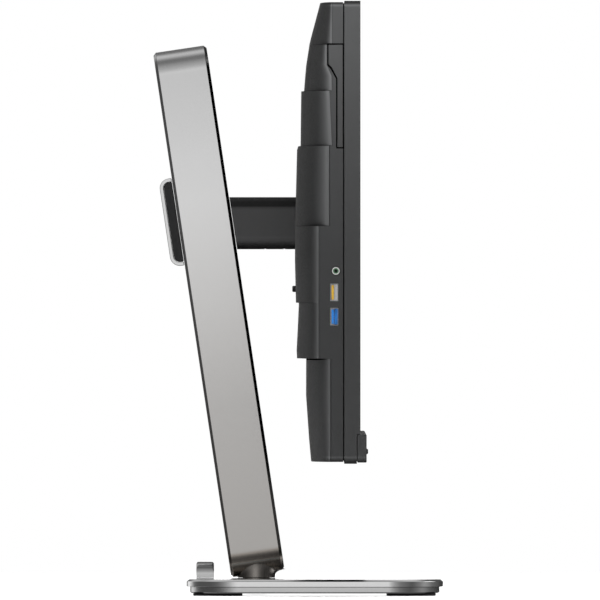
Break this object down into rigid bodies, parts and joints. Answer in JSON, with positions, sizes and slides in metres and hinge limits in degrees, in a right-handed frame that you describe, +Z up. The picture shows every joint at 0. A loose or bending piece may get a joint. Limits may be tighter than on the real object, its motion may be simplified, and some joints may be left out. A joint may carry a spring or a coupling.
{
  "type": "computer monitor",
  "caption": "Wide flat desk monitor on a leaning aluminium column with a thin base, height lift, tilt, swivel and pivot, side sockets and press keys.",
  "frame": {"origin": "on the desk under the centre of the whole object's box", "axes": "+Z up, the screen faces -Y, +X to the right of someone facing the screen"},
  "size_m": [0.612, 0.2364, 0.4814],
  "materials": {
    "dark_plastic": "fine matte texture",
    "frame_plastic": "smooth matte",
    "black_plastic": "matte",
    "screen_glass": "anti-glare",
    "aluminium": "fine brushed satin",
    "steel": "satin",
    "rubber": "matte",
    "circuit_board": "solder mask",
    "yellow_plastic": "moulded",
    "blue_plastic": "moulded"
  },
  "bodies": {
    "base": {"base_plate": "aluminium", "base_underplate": "steel", "foot_front_left": "rubber", "foot_front_right": "rubber", "foot_rear_left": "rubber", "foot_rear_right": "rubber", "cable_hook": "steel", "swivel_washer": "black_plastic"},
    "column": {"swivel_neck": "steel", "swivel_retainer": "steel", "base_thumbscrew": "steel", "column_band": "aluminium", "column_front_cover": "black_plastic", "column_rear_cover": "black_plastic", "guide_rail_left": "steel", "guide_rail_right": "steel", "lift_spring_drum": "steel"},
    "carriage": {"carriage": "black_plastic", "arm_cover": "dark_plastic", "tilt_bracket": "steel", "tilt_shaft": "steel", "clip_band": "aluminium", "clip_core": "black_plastic"},
    "head": {"tilt_knuckle": "steel"},
    "display": {"front_frame": "frame_plastic", "chin_bezel": "frame_plastic", "rear_cover": "dark_plastic", "side_trim_left": "dark_plastic", "side_trim_right": "dark_plastic", "backlight_unit": "black_plastic", "speaker_left": "black_plastic", "speaker_right": "black_plastic", "audio_jack": "black_plastic", "quick_release_plate": "black_plastic", "power_inlet": "black_plastic", "lcd_panel": "screen_glass", "sensor_lens": "screen_glass", "panel_chassis": "steel", "vesa_frame": "steel", "pivot_retainer": "steel", "usb_shell_fast": "steel", "usb_shell_data": "steel", "hdmi_socket": "steel", "displayport_socket": "steel", "usb_c_socket": "steel", "plate_screw_upper_left": "steel", "plate_screw_upper_right": "steel", "plate_screw_lower_left": "steel", "plate_screw_lower_right": "steel", "main_board": "circuit_board", "power_board": "circuit_board", "port_board": "circuit_board", "usb_tongue_fast": "yellow_plastic", "usb_tongue_data": "blue_plastic"},
    "release_button": {"release_button": "black_plastic"},
    "power_button": {"power_button": "black_plastic"},
    "menu_button_1": {"menu_button_1": "black_plastic"},
    "menu_button_2": {"menu_button_2": "black_plastic"},
    "menu_button_3": {"menu_button_3": "black_plastic"},
    "menu_button_4": {"menu_button_4": "black_plastic"}
  },
  "joints": [
    {"name": "swivel", "type": "hinge", "parent": "base", "child": "column", "pos_m": [0, 0.0343, 0.0134], "axis": [0, 0, 1], "range_deg": [-180, 180]},
    {"name": "height", "type": "slide", "parent": "column", "child": "carriage", "axis": [0, 0.1478, 0.989], "range_m": [-0.073, 0.077]},
    {"name": "tilt", "type": "hinge", "parent": "carriage", "child": "head", "pos_m": [0, -0.001, 0.30325], "axis": [-1, 0, 0], "range_deg": [-5, 25]},
    {"name": "pivot", "type": "hinge", "parent": "head", "child": "display", "pos_m": [0, -0.009, 0.30325], "axis": [0, 1, 0], "range_deg": [0, 20]},
    {"name": "release_press", "type": "slide", "parent": "display", "child": "release_button", "axis": [0, -1, 0], "range_m": [0, 0.0025], "stiffness_N_per_m": 800},
    {"name": "power_press", "type": "slide", "parent": "display", "child": "power_button", "axis": [0, 0, 1], "range_m": [0, 0.0008], "stiffness_N_per_m": 900},
    {"name": "menu_1_press", "type": "slide", "parent": "display", "child": "menu_button_1", "axis": [0, 0, 1], "range_m": [0, 0.0008], "stiffness_N_per_m": 900},
    {"name": "menu_2_press", "type": "slide", "parent": "display", "child": "menu_button_2", "axis": [0, 0, 1], "range_m": [0, 0.0008], "stiffness_N_per_m": 900},
    {"name": "menu_3_press", "type": "slide", "parent": "display", "child": "menu_button_3", "axis": [0, 0, 1], "range_m": [0, 0.0008], "stiffness_N_per_m": 900},
    {"name": "menu_4_press", "type": "slide", "parent": "display", "child": "menu_button_4", "axis": [0, 0, 1], "range_m": [0, 0.0008], "stiffness_N_per_m": 900}
  ]
}
